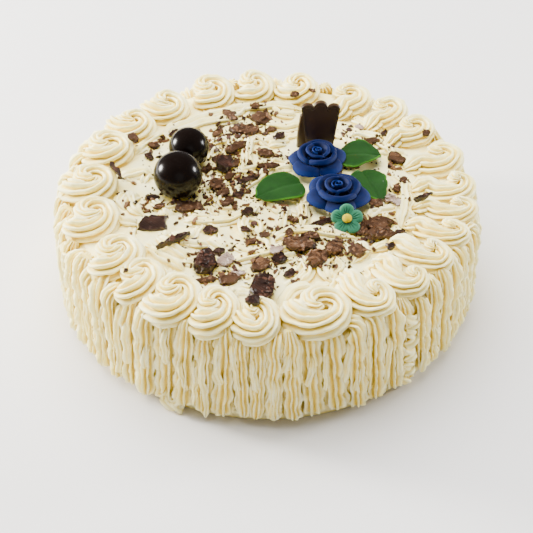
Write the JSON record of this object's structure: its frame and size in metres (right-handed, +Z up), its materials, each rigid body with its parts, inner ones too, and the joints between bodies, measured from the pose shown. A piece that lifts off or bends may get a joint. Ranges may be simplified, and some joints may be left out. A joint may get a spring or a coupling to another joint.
{
  "type": "decorated round cream cake",
  "caption": "Round uncut cream cake with ribbed piped sides, a rosette border, chocolate shavings and balls, marzipan roses and a bare chocolate plaque; stands on its flat foot.",
  "frame": {"origin": "centre of the flat foot that the cake stands on", "axes": "+Z up, -Y towards the side at the front of the picture, +X to the right of it"},
  "size_m": [0.2653, 0.2649, 0.1053],
  "materials": {
    "whipped_cream": "soft satin whipped cream",
    "ball_chocolate": "glossy dark chocolate",
    "plaque_chocolate": "moulded dark chocolate",
    "dark_shavings": "broken dark chocolate",
    "milk_shavings": "broken milk chocolate",
    "blue_marzipan": "matt marzipan",
    "green_marzipan": "matt marzipan",
    "mint_sugar_paste": "matt sugar paste",
    "yellow_sugar_paste": "matt sugar paste"
  },
  "bodies": {
    "root": {"cake": "whipped_cream", "ball_front": "ball_chocolate", "ball_back": "ball_chocolate", "rose_back": "blue_marzipan", "rose_front": "blue_marzipan", "leaf_left": "green_marzipan", "leaf_back_right": "green_marzipan", "leaf_right": "green_marzipan", "flower": "mint_sugar_paste", "flower_eye": "yellow_sugar_paste", "plaque": "plaque_chocolate", "plaque_backing": "plaque_chocolate", "shard_left": "dark_shavings", "stick_left": "dark_shavings", "stick_border_left": "dark_shavings", "stick_border_right": "dark_shavings", "block_front": "dark_shavings", "block_front_left": "dark_shavings", "block_middle": "dark_shavings", "curl_upper_left": "milk_shavings", "curl_front_mid": "milk_shavings", "flat_front_left": "milk_shavings", "flat_right": "milk_shavings", "flat_middle_left": "milk_shavings", "flat_back": "milk_shavings", "flat_back_upper": "milk_shavings", "flake_right_a": "milk_shavings", "flake_right_b": "milk_shavings", "flake_right_c": "milk_shavings", "flake_right_edge": "milk_shavings", "flake_right_edge_back": "milk_shavings", "flake_far_right": "milk_shavings", "splinter_middle": "milk_shavings"}
  },
  "joints": []
}
